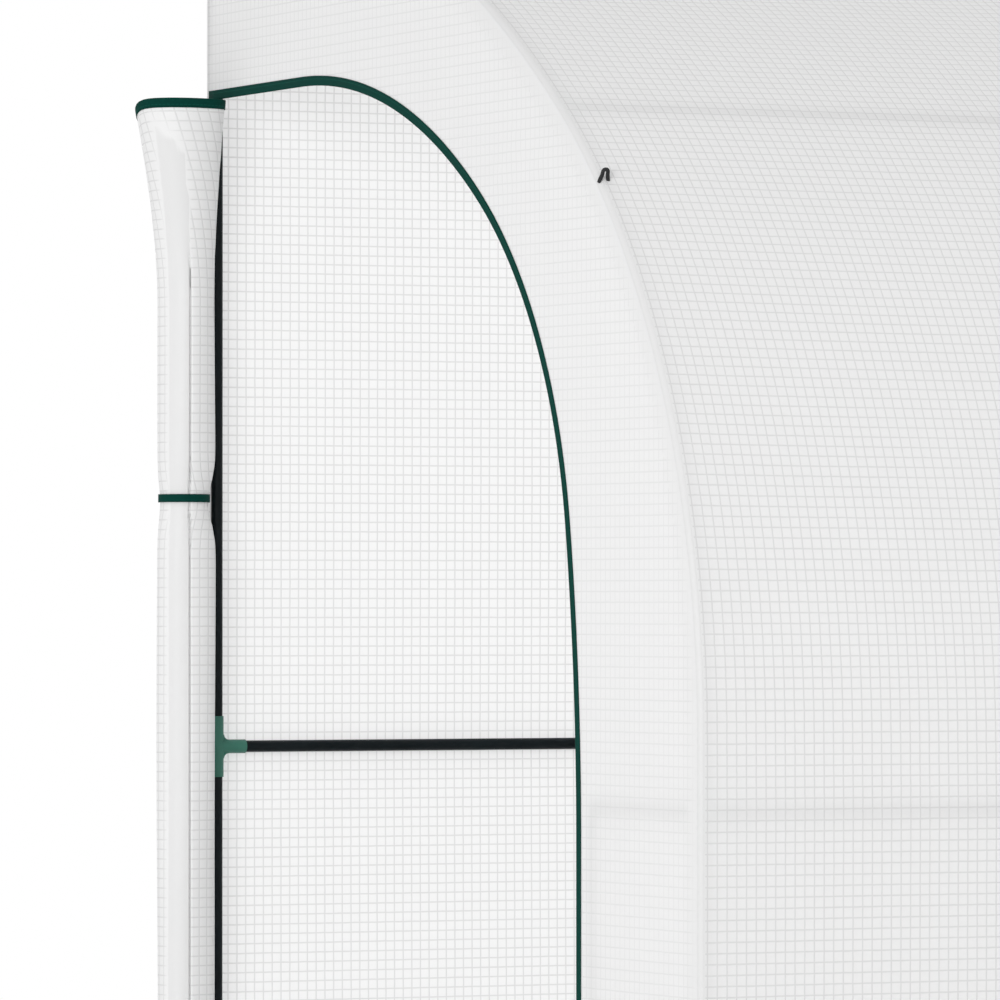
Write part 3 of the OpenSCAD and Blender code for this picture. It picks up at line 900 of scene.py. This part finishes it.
def door_table(s, share):
    """Where the core lies close behind the outer turn, the threads don't show and the film is painted greyer as
    painted shade; the crease gets a painted shadow line.
    """
    s, z = door_spot(s, share)
    angle = unroll(s, z)[0]
    # a painted shadow line runs along the crease, which is marked -1
    if abs(angle - CREASE_AT) < CREASE_WIDE and z < CREASE_TOP:
        return s, z, -1.0
    over = (angle - BAND_FROM) / (CREASE_AT - BAND_FROM)
    below = (BAND_TOP - BAND_FALL * over ** 2 - z) / BAND_FADE
    shade_band = clamp(min(over / BAND_SOFT, below)) if over < 1 else 0.0
    # painted shade: in the band the film is painted greyer and shows no threads
    return s, z, ROLLED + ROLL_PLAIN + (SHADED_PLAIN - ROLL_PLAIN) * shade_band


bm = hang(cut_cloth(COLUMNS, ROWS), lambda s, share: rolled(*door_spot(s, share)), door_table)
DOOR_AREA = sum((b - a) * ((door_top(a + HINGE) + door_top(b + HINGE)) / 2 - LIFT)
                for a, b in zip(COLUMNS, COLUMNS[1:]))
near_roll, far_roll = both_ends("near_door_roll", bm, FILM, "sheet", "near_rolled_door")
print("door cut", round(DOOR_AREA, 3), "square metres")

# %% Edging tape on the doors
ROLL_TAPE_STEP, ROLL_TAPE_THICK = 0.008, 0.0005


def on_door(spot, lift):
    """Where a point (y, z) of the flat door's edge lies on the roll."""
    return rolled(clamp(WALL - spot.x - HINGE, 0.0, DOOR_WIDE), max(spot.y, LIFT), lift)


bm = edge_tape(doorway(HINGE), -EDGE_IN, -1.0, on_door, ROLL_TAPE_STEP)
near_top, far_top = thicken(
    ROLL_TAPE_THICK, *both_ends("near_roll_edging", bm, TAPE, "binding", "near_roll_binding"))

# %% [markdown]
# ## Ties
# A green tape sewn to the wall edge goes once round each roll and draws it in. A ring could be turned on a
# lathe. As a strip it follows the waist that it makes in the roll, and its end runs back to the hinge as the
# real one does.

# %% Tie tapes
TIE_H, TIE_THICK = 0.011, 0.0012
tie_outer, tie_axis = roll_shape(TIE_Z)[:2]
TIE_R = tie_outer + 0.0016         # just clear of the roll
TIE_START, TIE_TURN = radians(100), radians(338)
TIE_ROUND, TIE_LEG = TIE_TURN * TIE_R, 0.042    # its length round the roll, and back to the hinge
TIE_SEWN = Vector((-HALF, WALL - HINGE - 0.003))


def on_tie(d, across):
    """Where a point of the tie lies: round the roll, and then straight to the hinge."""
    way = TIE_START + min(d / TIE_R, TIE_TURN)
    flat = tie_axis + TIE_R * Vector((cos(way), sin(way)))
    if d / TIE_R > TIE_TURN:
        flat = flat.lerp(TIE_SEWN, (d - TIE_ROUND) / TIE_LEG)
    return Vector((flat.x, flat.y, TIE_Z + across))


bm = hang(cut_cloth(steps(0.0, (TIE_ROUND, 0.004), (TIE_ROUND + TIE_LEG, 0.006)),
                    steps(-TIE_H / 2, (TIE_H / 2, 0.003))), on_tie)
near_tie, far_tie = thicken(
    TIE_THICK, *both_ends("near_tie_tape", bm, TAPE, "binding", "near_door_tie"))

# %% [markdown]
# ## Cord loops
# A short loop of black cord stands on the cover's edge at each end, on two legs that lean a little apart. It could
# be a curve with a round bevel. Here a ring of points is extruded along the loop's path and set square to it at
# every step, and its three ridges turn as it goes, as the strands of a twisted cord do.

# %% The loop's path
LOOP_TURN, LOOP_UP = radians(43.6), radians(66)   # where it stands on the cover, and how upright
LOOP_BEND, LOOP_LEG, LOOP_R = 0.0032, 0.0155, 0.0025
SPLAY = radians(11)                # each leg leans out by this much
SUNK = 0.004                       # the legs go this far into the seam
LOOP_LENGTH = 2 * LOOP_LEG + (pi - 2 * SPLAY) * LOOP_BEND
LOOP_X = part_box("guy_loops")[0].x + LOOP_BEND * cos(SPLAY) + LOOP_LEG * sin(SPLAY)
LOOP_AT = LOW_C + LOW_R * facing(LOOP_TURN)


def loop_path(d):
    """A point of the loop and its direction, as (along the tunnel, off the cover)."""
    turn = clamp(SPLAY + (d - LOOP_LEG) / LOOP_BEND, SPLAY, pi - SPLAY)
    way = Vector((sin(turn), cos(turn)))
    middle = Vector((0, LOOP_LEG * cos(SPLAY) - LOOP_BEND * sin(SPLAY) - SUNK))
    past = min(d - LOOP_LEG, 0.0) + max(d - LOOP_LENGTH + LOOP_LEG, 0.0)
    return middle + LOOP_BEND * Vector((-cos(turn), sin(turn))) + past * way, way


print("cord in a loop", round(LOOP_LENGTH, 4))

# %% Cord loops
RIDGE, WIND = 0.10, 0.0021         # how far the strands stand out, and how fast they wind round
SIDES, LOOP_STEP = 12, 0.0016


def loop_ring(verts, cut, d):
    """Sets a ring of points square to the loop's path."""
    spot, way = loop_path(d)
    rise = Vector((0, *facing(LOOP_UP)))
    centre = Vector((LOOP_X + spot.x, LOOP_AT.x, LOOP_AT.y)) + spot.y * rise
    side = Vector((way.y, 0, 0)) - way.x * rise
    deep = Vector((1, 0, 0)).cross(rise)
    for n, v in enumerate(verts):
        turn = 2 * pi * n / len(verts)
        radius = LOOP_R * (1 + RIDGE * cos(STRANDS * turn + d / WIND))
        v.co = centre + radius * (cos(turn) * side + sin(turn) * deep)
        v[cut] = d, n / len(verts), 0


def face_order(face):
    """Extruding leaves the faces in a chance order, so they are sorted: every run then gives the same mesh."""
    corners = [v.index for v in face.verts]
    return min(corners) * len(bm.verts) + max(corners)


bm = bmesh.new()
cut = bm.verts.layers.float_vector.new("cut")
ring = bmesh.ops.create_circle(bm, segments=SIDES, radius=LOOP_R, cap_ends=True)["verts"]
loop_ring(ring, cut, 0.0)
for d in steps(0.0, (LOOP_LENGTH, LOOP_STEP))[1:]:
    order = {v: n for n, v in enumerate(ring)}
    edges = [e for e in bm.edges if all(v in order for v in e.verts)]
    made = bmesh.ops.extrude_edge_only(bm, edges=edges)["geom"]
    fresh = [g for g in made if isinstance(g, bmesh.types.BMVert)]
    lead = {v: order[next(e.other_vert(v) for e in v.link_edges if e.other_vert(v) in order)] for v in fresh}
    ring = sorted(fresh, key=lead.get)
    loop_ring(ring, cut, d)
bmesh.ops.contextual_create(bm, geom=ring)
bm.verts.index_update()
bm.faces.sort(key=face_order)
bmesh.ops.recalc_face_normals(bm, faces=bm.faces)
other = far_end(bm)
mesh = bpy.data.meshes.new("other loop")
other.to_mesh(mesh)
other.free()
bm.from_mesh(mesh)
bpy.data.meshes.remove(mesh)
piece("cord_loops", bm, CORD, "cord", "guy_loops")

2 * ENDS
HOOP_LENGTH + 2 * (HEM + pi * HEM_R)
for panel, edging, roll, top, tie, end in ((near_panel, near_edging, near_roll, near_top, near_tie, "near"),
                                           (far_panel, far_edging, far_roll, far_top, far_tie, "far")):
    end + "_end_roof_tube"
    end + "_end_shoulder_tube"
print("cover flat", round(2 * ENDS, 3), "by", round(HOOP_LENGTH + 2 * (HEM + pi * HEM_R), 3))

# %% [markdown]
# ## Floor, backdrop and light
# The object stands on a plain pale floor under a white surround. White is what the camera sees of the surround;
# the light it gives is set apart from that, so that the film keeps its tone. One large soft lamp stands to the left
# and in front, where the doorway faces, and a stronger one behind the wall side makes the film glow from within.
# A bright picture of a sky could light it too, but then its colours and sun would show on the plain white film.

# %% Floor
FLOOR_R, FLOOR_DROP = 10, 0.0005   # the floor lies this far under the feet, so that they don't share a face
bm = bmesh.new()
bmesh.ops.create_circle(bm, segments=96, radius=FLOOR_R, cap_ends=True)
mesh = bpy.data.meshes.new("floor")
bm.to_mesh(mesh)
bm.free()
floor = bpy.data.objects.new("floor", mesh)
floor.location.z = -FLOOR_DROP
bpy.context.scene.collection.objects.link(floor)
ground, ground_shade = new_finish("pale_floor")
ground_shade.feed({"Base Color": grey(0.86), "Roughness": 0.9, "Specular IOR Level": 0.1})
mesh.materials.append(ground)
print("floor", 2 * FLOOR_R, "m across")

# %% Surround
SURROUND = 0.69                    # how much light the surround gives
world = bpy.data.worlds.new("surround")
world.use_nodes = True
bpy.context.scene.world = world
sky = Value(world.node_tree.nodes["Background"].outputs[0])
rays = sky.node("ShaderNodeLightPath").socket.node.outputs
seen, mirrored = Value(rays["Is Camera Ray"]), Value(rays["Is Glossy Ray"])
white = seen.larger(mirrored).larger(Value(rays["Is Transmission Ray"]))
sky.feed({"Color": grey(1.0), "Strength": SURROUND + white * (1 - SURROUND)})
print("surround lights with", SURROUND, "and is seen as white")

# %% Lamps
AIM = Vector((0, 0, 1.1))          # both lamps face the middle of the tunnel
LAMP_SIZE, LAMP_SPREAD = 4.0, radians(80)


def lamp(name, place, power):
    """A large round lamp, so that its shadows are soft."""
    light = bpy.data.lights.new(name, "AREA")
    light.shape, light.size, light.energy = "DISK", LAMP_SIZE, power
    light.spread = LAMP_SPREAD
    made = bpy.data.objects.new(name, light)
    made.location = place
    made.rotation_euler = (AIM - Vector(place)).to_track_quat("-Z", "Y").to_euler()
    bpy.context.scene.collection.objects.link(made)


lamp("left", (-7.2, -5.8, 2.0), power=56)
lamp("behind", (3.0, 8.0, 2.5), power=78)
bpy.context.scene.view_settings.view_transform = "Standard"

# %% [markdown]
# ## The end
